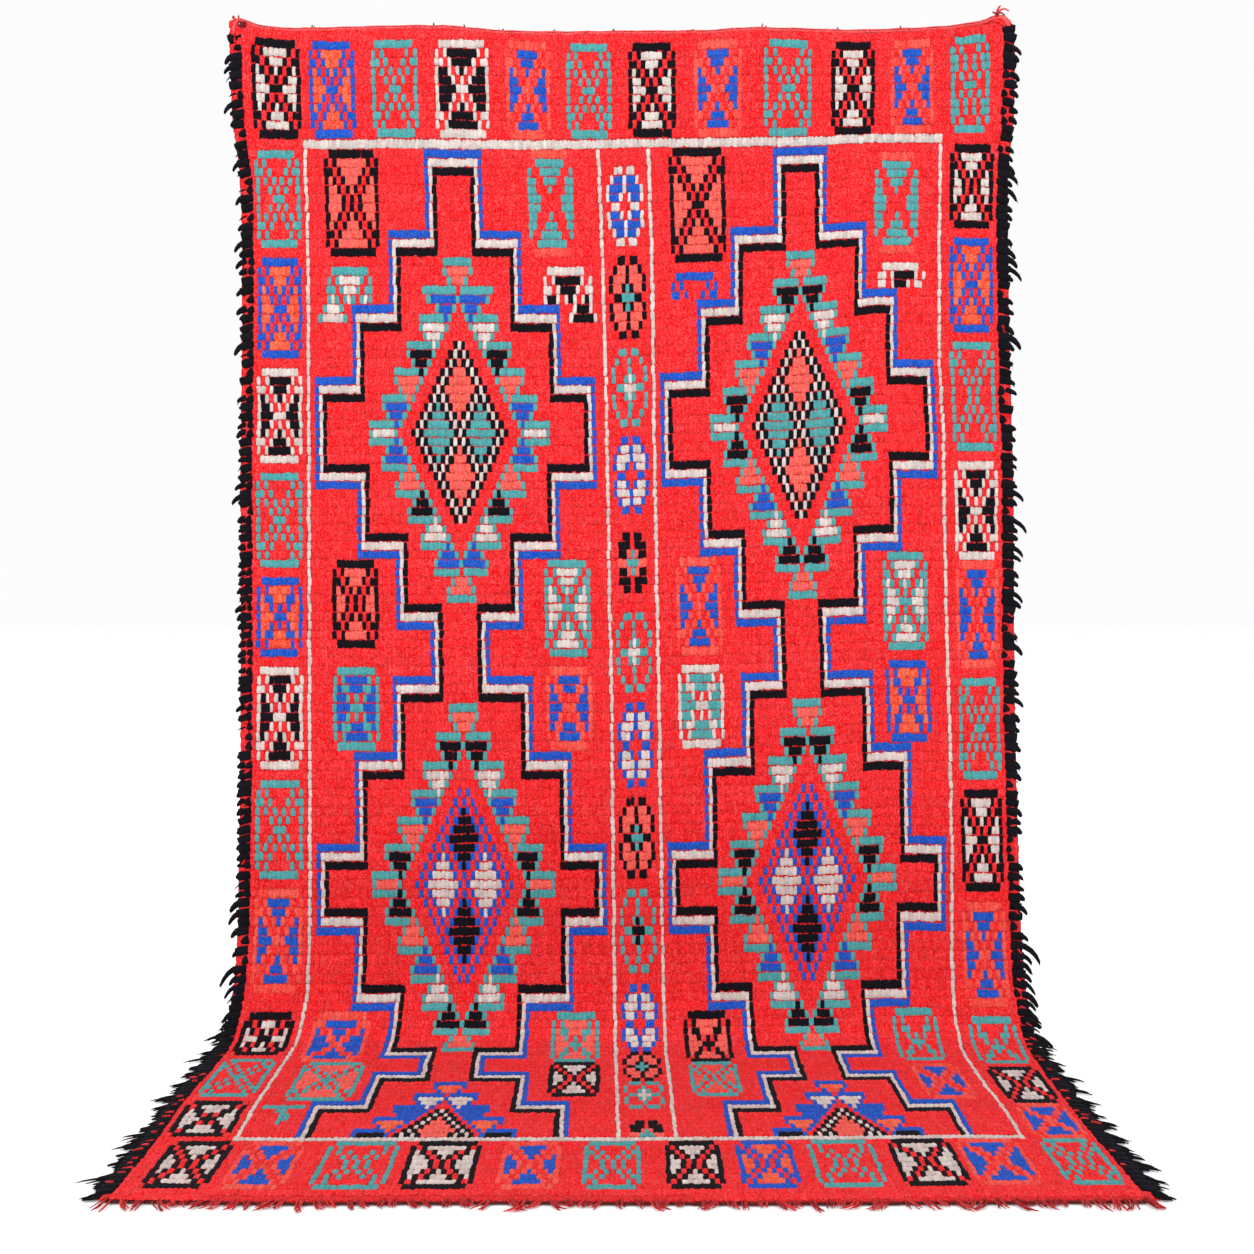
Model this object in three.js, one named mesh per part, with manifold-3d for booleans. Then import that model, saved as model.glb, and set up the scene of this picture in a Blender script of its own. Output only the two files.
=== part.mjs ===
import * as THREE from "three";
import { mergeVertices } from "three/addons/utils/BufferGeometryUtils.js";
import Module from "manifold-3d";

// A hand-knotted berber rug, hung by its top edge, with its lower end drawn forward over the floor.
// Millimetres, +Z up. X runs across the rug and the run on the floor comes towards -Y.
// Each piece is laid out flat first, by across (X), along (down the rug from its top edge)
// and up (out of the pile side), and then draped.

// How it hangs
const HANG_TOP = 2165; // height of the top edge where it sags lowest
const FLOOR_REACH = 823; // from the hanging plane to the front edge
const BEND_HEIGHT = 320; // where the cloth begins to leave the hanging plane
const BEND_REACH = 200; // where it has come down flat on the floor
const BEND_POWER = 3; // 2 would be an ellipse, more keeps closer to the corner
const BEND_STEPS = 240;
const RIPPLE = { depth: 4, pitch: 540, shift: 90, fullAbove: 740 }; // soft upright waves of the hanging part

// The knotted cloth
const CLOTH_THICK = 12; // foundation with its lying pile
const CLOTH_ACROSS = 22; // faces across
const SHOULDER = 24; // the hem's ends reach out over the selvedges for this far down
const SHOULDER_ROUND = 14;
const SHOULDER_SLANT = 5;
const EDGE_FADE = 260; // how far the top and front edges' unevenness reaches in
const FLARE = 440; // the sides flare out over this length below the top, towards the held corners

// The black selvedges, with one lock for every two rows of knots
const SELVEDGE = { width: 27, thick: 9, lockPitch: 39, lockRoot: 22 };
const LOCK = { middleOut: 0.62, middleDrop: 0.35, middleHalf: 7, middleHigh: 7, curl: 3 };
const LOCK_REACH = {
  left: { mean: 15, vary: 5 },
  right: { mean: 23, vary: 9 },
  floor: { mean: 30, vary: 9 },
};
const LOCK_DROP = { hanging: { mean: 21, vary: 5 }, floor: { mean: 0, vary: 4 } };

// The thin strip of cut warps at the front, and its strands
const WARPS = { reach: 4, thick: 4, count: 90, root: 7, overhang: 16 };
const STRAND = { mean: 19, vary: 8, lean: 4.5, middleHalf: 2.2, middleHigh: 3.2 };
const STRAND_CORNER = { longer: 7, within: 120 }; // they are longer near both corners
const SEAM = 0.6; // nominal parting between pieces, which stays over 0.3 on curved edges

// Rise of the top edge over its lowest sag, between the points it is held at
const TOP_EDGE = [
  { across: -840, rise: 26 },
  { across: -780, rise: 13 },
  { across: -620, rise: 9 },
  { across: -393, rise: 13 },
  { across: -134, rise: 0 },
  { across: 90, rise: 0 },
  { across: 287, rise: 11 },
  { across: 500, rise: 2 },
  { across: 675, rise: 11 },
  { across: 770, rise: 24 },
  { across: 830, rise: 28 },
];
// Half-widths of the knotted cloth down its length
const SIDE_EDGE = [
  { along: -30, left: 834, right: 807 },
  { along: 60, left: 830, right: 811 },
  { along: 190, left: 825, right: 808 },
  { along: 290, left: 812, right: 798 },
  { along: 390, left: 806, right: 796 },
  { along: 700, left: 805, right: 800 },
  { along: 950, left: 808, right: 807 },
  { along: 1400, left: 807, right: 810 },
  { along: 1700, left: 809, right: 816 },
  { along: 1950, left: 813, right: 824 },
  { along: 2150, left: 820, right: 829 },
  { along: 2320, left: 824, right: 825 },
  { along: 2500, left: 826, right: 819 },
  { along: 2700, left: 816, right: 817 },
  { along: 2930, left: 816, right: 818 },
];
// How far the front edge runs past its mean line
const FRONT_EDGE = [
  { across: -830, extra: -7 },
  { across: -560, extra: 1 },
  { across: -200, extra: -1 },
  { across: 180, extra: 2 },
  { across: 520, extra: -1 },
  { across: 830, extra: -5 },
];

// A smooth curve through one column of a table
function along(table, key, column, at) {
  let i = 0;
  while (i < table.length - 2 && at > table[i + 1][key]) i++;
  const slope = (k) => {
    const [a, b] = [table[Math.max(k - 1, 0)], table[Math.min(k + 1, table.length - 1)]];
    return (b[column] - a[column]) / (b[key] - a[key]);
  };
  const [p, q] = [table[i], table[i + 1]];
  const span = q[key] - p[key];
  const t = THREE.MathUtils.clamp((at - p[key]) / span, 0, 1);
  const [t2, t3] = [t * t, t * t * t];
  return (
    (2 * t3 - 3 * t2 + 1) * p[column] +
    (t3 - 2 * t2 + t) * span * slope(i) +
    (3 * t2 - 2 * t3) * q[column] +
    (t3 - t2) * span * slope(i + 1)
  );
}

// The same uneven number between -1 and 1 for the same piece every time
function uneven(number, kind) {
  const wave = Math.sin(number * 12.9898 + kind * 78.233) * 43758.5453;
  return 2 * (wave - Math.floor(wave)) - 1;
}

// The line that the back of the cloth follows, seen from the side: straight down, round the bend, flat
function bendPoint(turn) {
  const power = 2 / BEND_POWER;
  const y = -BEND_REACH * (1 - Math.cos(turn) ** power);
  const z = BEND_HEIGHT * (1 - Math.sin(turn) ** power);
  return new THREE.Vector2(y, z);
}
const BEND = [{ run: 0, point: new THREE.Vector2(0, BEND_HEIGHT) }];
for (let step = 1; step <= BEND_STEPS; step++) {
  const last = BEND[step - 1];
  const turn = (step / BEND_STEPS) * (Math.PI / 2);
  const point = step < BEND_STEPS ? bendPoint(turn) : new THREE.Vector2(-BEND_REACH, 0);
  BEND.push({ run: last.run + point.distanceTo(last.point), point });
}
const BEND_START = HANG_TOP - BEND_HEIGHT;
const BEND_END = BEND_START + BEND[BEND_STEPS].run;
const LENGTH = BEND_END + FLOOR_REACH - BEND_REACH;

// Faces of the cloth along each stretch
const CLOTH_ALONG = [
  { to: SHOULDER, faces: 4 },
  { to: FLARE, faces: 9 },
  { to: BEND_START, faces: 14 },
  { to: BEND_END, faces: 15 },
  { to: LENGTH, faces: 8 },
];

function profile(run) {
  if (run <= BEND_START) return { y: 0, z: HANG_TOP - run, down: new THREE.Vector2(0, -1) };
  if (run >= BEND_END) return { y: -BEND_REACH - (run - BEND_END), z: 0, down: new THREE.Vector2(-1, 0) };
  let i = 1;
  while (BEND[i].run < run - BEND_START) i++;
  const [a, b] = [BEND[i - 1], BEND[i]];
  const point = a.point.clone().lerp(b.point, (run - BEND_START - a.run) / (b.run - a.run));
  return { y: point.x, z: point.y, down: b.point.clone().sub(a.point).normalize() };
}

// Takes a place on the flat rug to where it hangs or lies
function drape(across, run, up) {
  const { y, z, down } = profile(run);
  const hanging = THREE.MathUtils.smoothstep(BEND_START - run, 0, RIPPLE.fullAbove);
  const wave = Math.sin(((across + RIPPLE.shift) / RIPPLE.pitch) * 2 * Math.PI);
  const ripple = RIPPLE.depth * hanging * wave;
  return new THREE.Vector3(across, y + down.y * up - ripple, z - down.x * up);
}

// Collects faces by their corners, shares the corners and turns the faces out
class Skin {
  constructor() {
    this.corners = [];
    this.triangles = [];
  }
  corner(point) {
    this.corners.push(point.x, point.y, point.z);
    return this.corners.length / 3 - 1;
  }
  face(a, b, c, d) {
    this.triangles.push(a, b, c);
    if (d !== undefined) this.triangles.push(a, c, d);
  }
  volume() {
    const at = (i) => new THREE.Vector3().fromArray(this.corners, 3 * i);
    let sum = 0;
    for (let i = 0; i < this.triangles.length; i += 3) {
      const [a, b, c] = this.triangles.slice(i, i + 3).map(at);
      sum += a.dot(b.cross(c)) / 6;
    }
    return sum;
  }
  geometry() {
    if (this.volume() < 0) this.triangles.reverse();
    const geometry = new THREE.BufferGeometry();
    geometry.setAttribute("position", new THREE.Float32BufferAttribute(this.corners, 3));
    geometry.setIndex(this.triangles);
    return geometry;
  }
}

const edgeAt = (side, run) => along(SIDE_EDGE, "along", side < 0 ? "left" : "right", run);

// The top and front edges are uneven, and the rows of the cloth near them follow
function clothRun(run, across) {
  const nearTop = Math.max(0, 1 - run / EDGE_FADE);
  const nearFront = Math.max(0, 1 - (LENGTH - run) / EDGE_FADE);
  const rise = along(TOP_EDGE, "across", "rise", across) * nearTop;
  return run - rise + along(FRONT_EDGE, "across", "extra", across) * nearFront;
}

// Its sides, with the hem's ends as rounded shoulders over the selvedges
function clothEdge(side, run) {
  const reach = SELVEDGE.width * THREE.MathUtils.smoothstep(SHOULDER - run, 0, SHOULDER_SLANT);
  const fromTop = THREE.MathUtils.clamp(1 - run / SHOULDER_ROUND, 0, 1);
  const rounding = SHOULDER_ROUND * (1 - Math.sqrt(1 - fromTop * fromTop));
  const edge = edgeAt(side, clothRun(run, side * edgeAt(side, run)));
  return edge + reach - rounding;
}

// The cloth is a slab of faces across and along
function clothGeometry() {
  const runs = [0];
  for (const { to, faces } of CLOTH_ALONG) {
    const from = runs[runs.length - 1];
    for (let k = 1; k <= faces; k++) runs.push(THREE.MathUtils.lerp(from, to, k / faces));
  }
  const skin = new Skin();
  const place = (column, run, up) => {
    const share = column / CLOTH_ACROSS;
    const across = THREE.MathUtils.lerp(-clothEdge(-1, run), clothEdge(1, run), share);
    return skin.corner(drape(across, clothRun(run, across), up));
  };
  const rows = runs.map((run) => {
    const layer = (up) => Array.from({ length: CLOTH_ACROSS + 1 }, (_, column) => place(column, run, up));
    return { back: layer(0), pile: layer(CLOTH_THICK) };
  });
  for (let r = 0; r < rows.length - 1; r++) {
    const [a, b] = [rows[r], rows[r + 1]];
    for (let c = 0; c < CLOTH_ACROSS; c++) {
      skin.face(a.pile[c], b.pile[c], b.pile[c + 1], a.pile[c + 1]);
      skin.face(a.back[c], a.back[c + 1], b.back[c + 1], b.back[c]);
    }
    const last = CLOTH_ACROSS;
    skin.face(a.back[0], b.back[0], b.pile[0], a.pile[0]);
    skin.face(a.back[last], a.pile[last], b.pile[last], b.back[last]);
  }
  const [first, final] = [rows[0], rows[rows.length - 1]];
  for (let c = 0; c < CLOTH_ACROSS; c++) {
    skin.face(first.back[c], first.pile[c], first.pile[c + 1], first.back[c + 1]);
    skin.face(final.back[c], final.back[c + 1], final.pile[c + 1], final.pile[c]);
  }
  return skin.geometry();
}

// A narrow strip whose outer side is drawn out into locks: each has a four-sided root, a middle and a tip.
// place(run, out, up) says where a point of the flat strip goes, and lock(k, middle) gives a lock's bends.
function fringeGeometry({ from, to, count, root, width, thick, place, lock }) {
  const skin = new Skin();
  const pitch = (to - from) / count;
  const section = (run) => {
    const at = (out, up) => skin.corner(place(run, out, up));
    return { inLow: at(0, 0), inHigh: at(0, thick), outLow: at(width, 0), outHigh: at(width, thick) };
  };
  const strip = (a, b) => {
    skin.face(a.inLow, a.outLow, b.outLow, b.inLow);
    skin.face(a.inHigh, b.inHigh, b.outHigh, a.outHigh);
    skin.face(a.inLow, b.inLow, b.inHigh, a.inHigh);
  };
  let last = section(from);
  skin.face(last.inLow, last.inHigh, last.outHigh, last.outLow);
  for (let k = 0; k < count; k++) {
    const start = from + k * pitch + (pitch - root) / 2;
    const [a, b, end] = [section(start), section(start + root), k === count - 1 ? section(to) : null];
    strip(last, a);
    skin.face(last.outLow, last.outHigh, a.outHigh, a.outLow);
    strip(a, b);
    const { middle, tip } = lock(k, start + root / 2);
    const at = (run, out, up) => skin.corner(place(run, width + out, up));
    const ring = [
      at(middle.run - middle.half, middle.out, middle.low),
      at(middle.run + middle.half, middle.out, middle.low),
      at(middle.run + middle.half, middle.out, middle.high),
      at(middle.run - middle.half, middle.out, middle.high),
    ];
    const roots = [a.outLow, b.outLow, b.outHigh, a.outHigh];
    const point = at(tip.run, tip.out, tip.up);
    for (let i = 0; i < 4; i++) {
      const j = (i + 1) % 4;
      skin.face(roots[j], roots[i], ring[i], ring[j]);
      skin.face(ring[j], ring[i], point);
    }
    last = b;
    if (end) {
      strip(b, end);
      skin.face(b.outLow, b.outHigh, end.outHigh, end.outLow);
      skin.face(end.inLow, end.outLow, end.outHigh, end.inHigh);
    }
  }
  return skin.geometry();
}

// Black locks: they droop where the rug hangs and lie level where it is on the floor
function selvedgeGeometry(side, from, to) {
  const place = (run, out, up) => drape(side * (edgeAt(side, run) + SEAM + out), run, up);
  const lock = (k, run) => {
    const fall = -profile(run).down.y; // 1 where it hangs, 0 on the floor
    const number = Math.round(run / SELVEDGE.lockPitch);
    const [sideName, kind] = side < 0 ? ["left", 1] : ["right", 2];
    const vary = (size, of) => size.mean + size.vary * uneven(number, of);
    const mix = (floor, hanging, of) => THREE.MathUtils.lerp(vary(floor, of), vary(hanging, of), fall);
    const out = mix(LOCK_REACH.floor, LOCK_REACH[sideName], kind);
    const drop = mix(LOCK_DROP.floor, LOCK_DROP.hanging, kind + 2);
    const { middleOut, middleDrop, middleHalf, middleHigh, curl } = LOCK;
    const middle = { run: run + middleDrop * drop, out: middleOut * out, half: middleHalf };
    return {
      middle: { ...middle, low: (curl / 2) * fall, high: middleHigh },
      tip: { run: run + drop, out, up: curl * fall },
    };
  };
  const { width, thick, lockPitch, lockRoot } = SELVEDGE;
  const count = Math.round((to - from) / lockPitch);
  return fringeGeometry({ from, to, count, root: lockRoot, width, thick, place, lock });
}

// Red ends of the warps, cut short, lying on the floor in front of the cloth and both selvedges
function warpGeometry() {
  const { reach, thick, count, root, overhang } = WARPS;
  const front = (across) => LENGTH + along(FRONT_EDGE, "across", "extra", across) + SEAM;
  const place = (across, out, up) => drape(across, front(across) + out, up);
  const half = edgeAt(1, LENGTH) + overhang;
  const lock = (k, across) => {
    const corner = THREE.MathUtils.smoothstep(Math.abs(across), half - STRAND_CORNER.within, half);
    const out = STRAND.mean + STRAND.vary * uneven(k, 5) + STRAND_CORNER.longer * corner;
    const lean = STRAND.lean * uneven(k, 6);
    const middle = { run: across + lean / 3, out: out / 2, half: STRAND.middleHalf };
    return {
      middle: { ...middle, low: 0, high: STRAND.middleHigh },
      tip: { run: across + lean, out, up: 0 },
    };
  };
  return fringeGeometry({ from: -half, to: half, count, root, width: reach, thick, place, lock });
}

// The red yarn tied off above the right corner: a knot with loose ends
const TASSEL = { across: 797, rise: 33, up: 6, knot: 7.5 };
const TASSEL_ENDS = [
  // each end's middle and tip, from the knot: across, height and out of the wall
  { name: "loop", middle: [1, 9, 1], tip: [5, 17, 2], thick: 3.2 },
  { name: "long end", middle: [13, 9, 2], tip: [27, 6, 4], thick: 2.6 },
  { name: "short end", middle: [9, 2, 4], tip: [17, -3, 6], thick: 2.4 },
  { name: "stub", middle: [-6, 3, 3], tip: [-12, 5, 5], thick: 2.4 },
];

const YARN_TAPER = 0.25; // of its thickness, from each ring to the next

const wasm = await Module();
wasm.setup();

function toManifold(geometry) {
  const bare = geometry.clone();
  bare.deleteAttribute("normal");
  bare.deleteAttribute("uv");
  const merged = mergeVertices(bare, 1e-3);
  const mesh = new wasm.Mesh({
    numProp: 3,
    vertProperties: new Float32Array(merged.attributes.position.array),
    triVerts: new Uint32Array(merged.index.array),
  });
  return new wasm.Manifold(mesh);
}

function fromManifold(solid) {
  const mesh = solid.getMesh();
  const geometry = new THREE.BufferGeometry();
  geometry.setAttribute("position", new THREE.BufferAttribute(new Float32Array(mesh.vertProperties), 3));
  geometry.setIndex(new THREE.BufferAttribute(new Uint32Array(mesh.triVerts), 1));
  return geometry;
}

function yarnEnd(middle, tip, thick) {
  const skin = new Skin();
  const points = [new THREE.Vector3(), middle, tip];
  const side = new THREE.Vector3().crossVectors(points[2], new THREE.Vector3(0, 1, 0)).normalize();
  const rings = points.map((point, i) => {
    const half = (thick / 2) * (1 - YARN_TAPER * i);
    return [[-1, -1], [1, -1], [1, 1], [-1, 1]].map(([u, v]) => {
      const corner = point.clone().addScaledVector(side, u * half);
      return skin.corner(corner.add(new THREE.Vector3(0, v * half, 0)));
    });
  });
  skin.face(...rings[0]);
  for (let r = 0; r < 2; r++) {
    for (let i = 0; i < 4; i++) {
      const j = (i + 1) % 4;
      skin.face(rings[r][j], rings[r][i], rings[r + 1][i], rings[r + 1][j]);
    }
  }
  skin.face(...rings[2].slice().reverse());
  return skin.geometry();
}

function tasselGeometry() {
  const knot = new THREE.SphereGeometry(TASSEL.knot, 8, 6);
  const place = ([across, height, out]) => new THREE.Vector3(across, -out, height);
  const ends = TASSEL_ENDS.map(({ middle, tip, thick }) => yarnEnd(place(middle), place(tip), thick));
  return fromManifold(ends.reduce((whole, end) => whole.add(toManifold(end)), toManifold(knot)));
}

const material = (color) => new THREE.MeshStandardMaterial({ color, roughness: 0.95, metalness: 0 });
const RED_PILE = 0xe23434;
const BLACK_WOOL = 0x17171b;
const RED_YARN = 0xb52a2e;

const rug = new THREE.Group();
function piece(name, geometry, color) {
  const mesh = new THREE.Mesh(geometry, material(color));
  mesh.name = name;
  rug.add(mesh);
  return mesh;
}

piece("rug", clothGeometry(), RED_PILE);

// Each selvedge is parted where the rug hangs, bends and lies
const STRETCHES = [
  { name: "hanging", from: SHOULDER, to: BEND_START },
  { name: "bend_upper", from: BEND_START, to: (BEND_START + BEND_END) / 2 },
  { name: "bend_lower", from: (BEND_START + BEND_END) / 2, to: BEND_END },
  { name: "floor", from: BEND_END, to: LENGTH - 8 },
];
for (const [sideName, side] of [["left", -1], ["right", 1]]) {
  for (const { name, from, to } of STRETCHES) {
    const start = clothRun(from, side * edgeAt(side, from)) + SEAM;
    piece(`selvedge_${sideName}_${name}`, selvedgeGeometry(side, start, to), BLACK_WOOL);
  }
}

piece("warp_ends_front", warpGeometry(), RED_YARN);

const tassel = piece("corner_tassel", tasselGeometry(), RED_YARN);
tassel.position.copy(drape(TASSEL.across, -TASSEL.rise, TASSEL.up));

// The origin is under the middle of the whole piece, on the floor
const whole = new THREE.Group();
whole.add(rug);
rug.updateMatrixWorld(true);
const middle = new THREE.Box3().setFromObject(rug).getCenter(new THREE.Vector3());
rug.position.set(-middle.x, -middle.y, 0);

export default whole;
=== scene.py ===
import math

import bpy
import numpy as np
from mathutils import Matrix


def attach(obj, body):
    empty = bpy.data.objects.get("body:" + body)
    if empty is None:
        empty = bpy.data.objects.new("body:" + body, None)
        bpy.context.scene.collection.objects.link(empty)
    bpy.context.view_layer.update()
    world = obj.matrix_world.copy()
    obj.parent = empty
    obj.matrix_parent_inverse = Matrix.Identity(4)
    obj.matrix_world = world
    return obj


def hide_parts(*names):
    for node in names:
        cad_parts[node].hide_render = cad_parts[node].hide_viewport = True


# A hand-knotted berber rug hung by its top edge, its lower end drawn forward over the floor.
# The rug is laid out flat in millimetres, as across, run (down the rug from its top edge) and up
# (out of its pile side), then draped to where the CAD cloth hangs, in metres.

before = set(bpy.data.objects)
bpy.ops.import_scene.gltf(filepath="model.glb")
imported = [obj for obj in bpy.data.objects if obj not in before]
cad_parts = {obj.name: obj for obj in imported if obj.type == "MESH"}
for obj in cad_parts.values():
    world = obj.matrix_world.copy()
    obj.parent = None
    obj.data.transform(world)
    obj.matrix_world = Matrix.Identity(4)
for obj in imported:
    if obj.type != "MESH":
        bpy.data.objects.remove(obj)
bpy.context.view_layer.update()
scene = bpy.context.scene


# Camera, floor and light

camera = bpy.data.objects.new("camera", bpy.data.cameras.new("camera"))
camera.data.lens = 40.19
camera.data.shift_y = -0.0375
camera.data.clip_end = 60
camera.location = (0.0005, -2.595, 0.98)
camera.rotation_euler = (math.radians(90), 0, 0)
scene.collection.objects.link(camera)
scene.camera = camera

scene.view_settings.view_transform = "Standard"


def connect(tree, node, values):
    """Sets each input of a node to a fixed value, or links another node's output to it."""
    for name, value in values.items():
        if isinstance(value, bpy.types.NodeSocket):
            tree.links.new(value, node.inputs[name])
        else:
            node.inputs[name].default_value = value


def studio_world():
    world = bpy.data.worlds.new("studio")
    scene.world = world
    world.use_nodes = True
    sky = {"Color": (1, 1, 1, 1), "Strength": 0.98}
    connect(world.node_tree, world.node_tree.nodes["Background"], sky)


def studio_floor():
    bpy.ops.mesh.primitive_plane_add(size=50, location=(0, 0, -0.001))
    floor = bpy.context.object
    floor.name = "studio_floor"
    paper = bpy.data.materials.new("floor_paper")
    paper.use_nodes = True
    connect(paper.node_tree, paper.node_tree.nodes["Principled BSDF"], {
        "Base Color": (0.9, 0.9, 0.9, 1),
        "Roughness": 0.9,
        "Specular IOR Level": 0.1,
        "Emission Color": (1, 1, 1, 1),
        "Emission Strength": 0.12,
    })
    floor.data.materials.append(paper)


def soft_light(name, place, aim, size, power):
    light = bpy.data.lights.new(name, "AREA")
    light.shape = "DISK"
    light.size = size
    light.energy = power
    lamp = bpy.data.objects.new(name, light)
    scene.collection.objects.link(lamp)
    lamp.location = place
    direction = lamp.location - type(lamp.location)(aim)
    lamp.rotation_euler = direction.to_track_quat("Z", "Y").to_euler()
    lamp.visible_camera = False


studio_world()
studio_floor()
soft_light("key_light", (-2.4, -3.7, 3.7), (0, 0, 0.9), 2.4, 83)
soft_light("fill_light", (3.4, -3.6, 2.2), (0, 0, 0.9), 3.0, 34)
soft_light("low_light", (-0.4, -4.4, 0.9), (0, 0.2, 0.6), 2.4, 28)
soft_light("top_light", (0, -1.4, 5.4), (0, -0.3, 0), 4.0, 72)
soft_light("back_light", (-1.0, 5.2, 3.4), (0, 0, 1.0), 3.0, 90)


# How the cloth hangs, as in the CAD model

HANG_TOP = 2165
FLOOR_REACH = 823
BEND_HEIGHT = 320
BEND_REACH = 200
BEND_STEPS = 240
RIPPLE_DEPTH = 4
RIPPLE_PITCH = 540
RIPPLE_SHIFT = 90
RIPPLE_FULL_ABOVE = 740
EDGE_FADE = 260
SHIFT_ACROSS = 0.52
SHIFT_BACK = 425.02

# across, rise of the top edge over its lowest sag
TOP_EDGE = [
    (-840, 26), (-780, 13), (-620, 9), (-393, 13), (-134, 0), (90, 0),
    (287, 11), (500, 2), (675, 11), (770, 24), (830, 28),
]
# run, half-width to the left, half-width to the right
SIDE_EDGE = [
    (-30, 834, 807), (60, 830, 811), (190, 825, 808), (290, 812, 798), (390, 806, 796),
    (700, 805, 800), (950, 808, 807), (1400, 807, 810), (1700, 809, 816), (1950, 813, 824),
    (2150, 820, 829), (2320, 824, 825), (2500, 826, 819), (2700, 816, 817), (2930, 816, 818),
]
# across, height of the middle of the rolled hem over the lowest sag of the top edge
HEM_LINE = [
    (-835, 22), (-817, 16), (-792, 8), (-748, 2), (-641, 1), (-490, 3), (-382, 4), (-274, -4),
    (-58, -8), (157, -6), (265, 2), (373, 0), (481, -5), (589, -3), (675, 2), (718, 8),
    (751, 13), (772, 19), (785, 25), (802, 28),
]
# across, how far the front edge runs past its mean line
FRONT_EDGE = [(-830, -7), (-560, 1), (-200, -1), (180, 2), (520, -1), (830, -5)]


def smooth_curve(table, at, column=1):
    """A smooth curve through one column of a table."""
    keys = np.array([line[0] for line in table], float)
    values = np.array([line[column] for line in table], float)
    last = len(keys) - 1
    before = np.maximum(np.arange(last + 1) - 1, 0)
    after = np.minimum(np.arange(last + 1) + 1, last)
    slope = (values[after] - values[before]) / (keys[after] - keys[before])
    at = np.asarray(at, float)
    i = np.clip(np.searchsorted(keys, at) - 1, 0, last - 1)
    span = keys[i + 1] - keys[i]
    t = np.clip((at - keys[i]) / span, 0, 1)
    start = (2 * t**3 - 3 * t**2 + 1) * values[i] + (t**3 - 2 * t**2 + t) * span * slope[i]
    end = (3 * t**2 - 2 * t**3) * values[i + 1] + (t**3 - t**2) * span * slope[i + 1]
    return start + end


def straight_curve(table, at, column=1):
    """Straight lines through one column of a table."""
    return np.interp(at, [line[0] for line in table], [line[column] for line in table])


def smooth_step(value, low, high):
    t = np.clip((value - low) / (high - low), 0, 1)
    return t * t * (3 - 2 * t)


def uneven(number, kind):
    """Uneven numbers between -1 and 1, the same for the same number and kind every time."""
    wave = np.sin(number * 12.9898 + kind * 78.233) * 43758.5453
    return 2 * (wave - np.floor(wave)) - 1


turn = np.linspace(0, math.pi / 2, BEND_STEPS + 1)
bend_y = -BEND_REACH * (1 - np.cos(turn) ** (2 / 3))
bend_z = BEND_HEIGHT * (1 - np.sin(turn) ** (2 / 3))
bend_run = np.concatenate([[0], np.cumsum(np.hypot(np.diff(bend_y), np.diff(bend_z)))])
BEND_START = HANG_TOP - BEND_HEIGHT
BEND_END = BEND_START + bend_run[-1]
LENGTH = BEND_END + FLOOR_REACH - BEND_REACH
BEYOND = 200
course_run = np.concatenate([[-BEYOND], BEND_START + bend_run, [LENGTH + BEYOND]])
course_y = np.concatenate([[0], bend_y, [-FLOOR_REACH - BEYOND]])
course_z = np.concatenate([[HANG_TOP + BEYOND], bend_z, [0]])


def course(run):
    return np.interp(run, course_run, course_y), np.interp(run, course_run, course_z)


def drape(flat):
    """Takes places on the flat rug, in millimetres, to where they hang or lie, in metres."""
    across, run, up = np.moveaxis(np.asarray(flat, float), -1, 0)
    y, z = course(run)
    y_before, z_before = course(run - 1)
    y_after, z_after = course(run + 1)
    dy, dz = y_after - y_before, z_after - z_before
    size = np.hypot(dy, dz)
    hanging = smooth_step(BEND_START - run, 0, RIPPLE_FULL_ABOVE)
    ripple = RIPPLE_DEPTH * hanging * np.sin((across + RIPPLE_SHIFT) / RIPPLE_PITCH * 2 * math.pi)
    back = y + dz / size * up - ripple
    height = z - dy / size * up
    return np.stack([across + SHIFT_ACROSS, back + SHIFT_BACK, height], -1) * 0.001


def cloth_run(run, across):
    """Rows near the top and front edges follow their unevenness."""
    near_top = np.maximum(0, 1 - run / EDGE_FADE)
    near_front = np.maximum(0, 1 - (LENGTH - run) / EDGE_FADE)
    rise = smooth_curve(TOP_EDGE, across) * near_top
    return run - rise + smooth_curve(FRONT_EDGE, across) * near_front


def hem_run(across):
    return -smooth_curve(HEM_LINE, across)


def front_run(across):
    return LENGTH + smooth_curve(FRONT_EDGE, across)


def side_edge(side, run):
    return smooth_curve(SIDE_EDGE, run, 1 if side < 0 else 2)


# The grid of knots: columns -90 to 90, rows -13 to 138, measured on the rug by their bars and lines

# row, run
ROW_RUN = [
    (-14, -24), (-12, 16), (-11, 35), (-1, 226), (0, 248), (1, 268), (12, 480), (20, 642),
    (28, 794), (36, 944), (44, 1093), (52, 1245), (62, 1439), (70, 1605), (80, 1800), (85, 1900),
    (93, 2063), (101, 2220), (110, 2385), (118, 2545), (125, 2673), (137, 2903), (140, 2961),
]
# row, rows by which the right half lies higher
RIGHT_RISE = [
    (-13, -0.3), (-6, 0.1), (-1, 0.45), (0, 0.55), (12, 1.2), (20, 1.9), (28, 2.0), (36, 1.35),
    (44, 1.0), (52, 0.75), (62, 0.8), (71, 1.0), (81, 0.8), (87, 0.5), (112, 0.5), (120, 0.4),
    (127, 0.7), (140, 0.7),
]
# column, share of that rise
RISE_SHARE = [(-6, 0), (20, 0.35), (41, 0.6), (60, 1)]
# across, how far the first rows of boxes sink under the hem, and the share of that for each row
ROW_SINK = [
    (-840, 0), (-700, 6), (-555, 9), (-380, 8), (-260, 1), (-160, 4), (0, 4), (200, 1), (340, 0),
]
SINK_SHARE = [(-13, 0), (-11.5, 1), (-8, 0.8), (-1, 0)]
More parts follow.
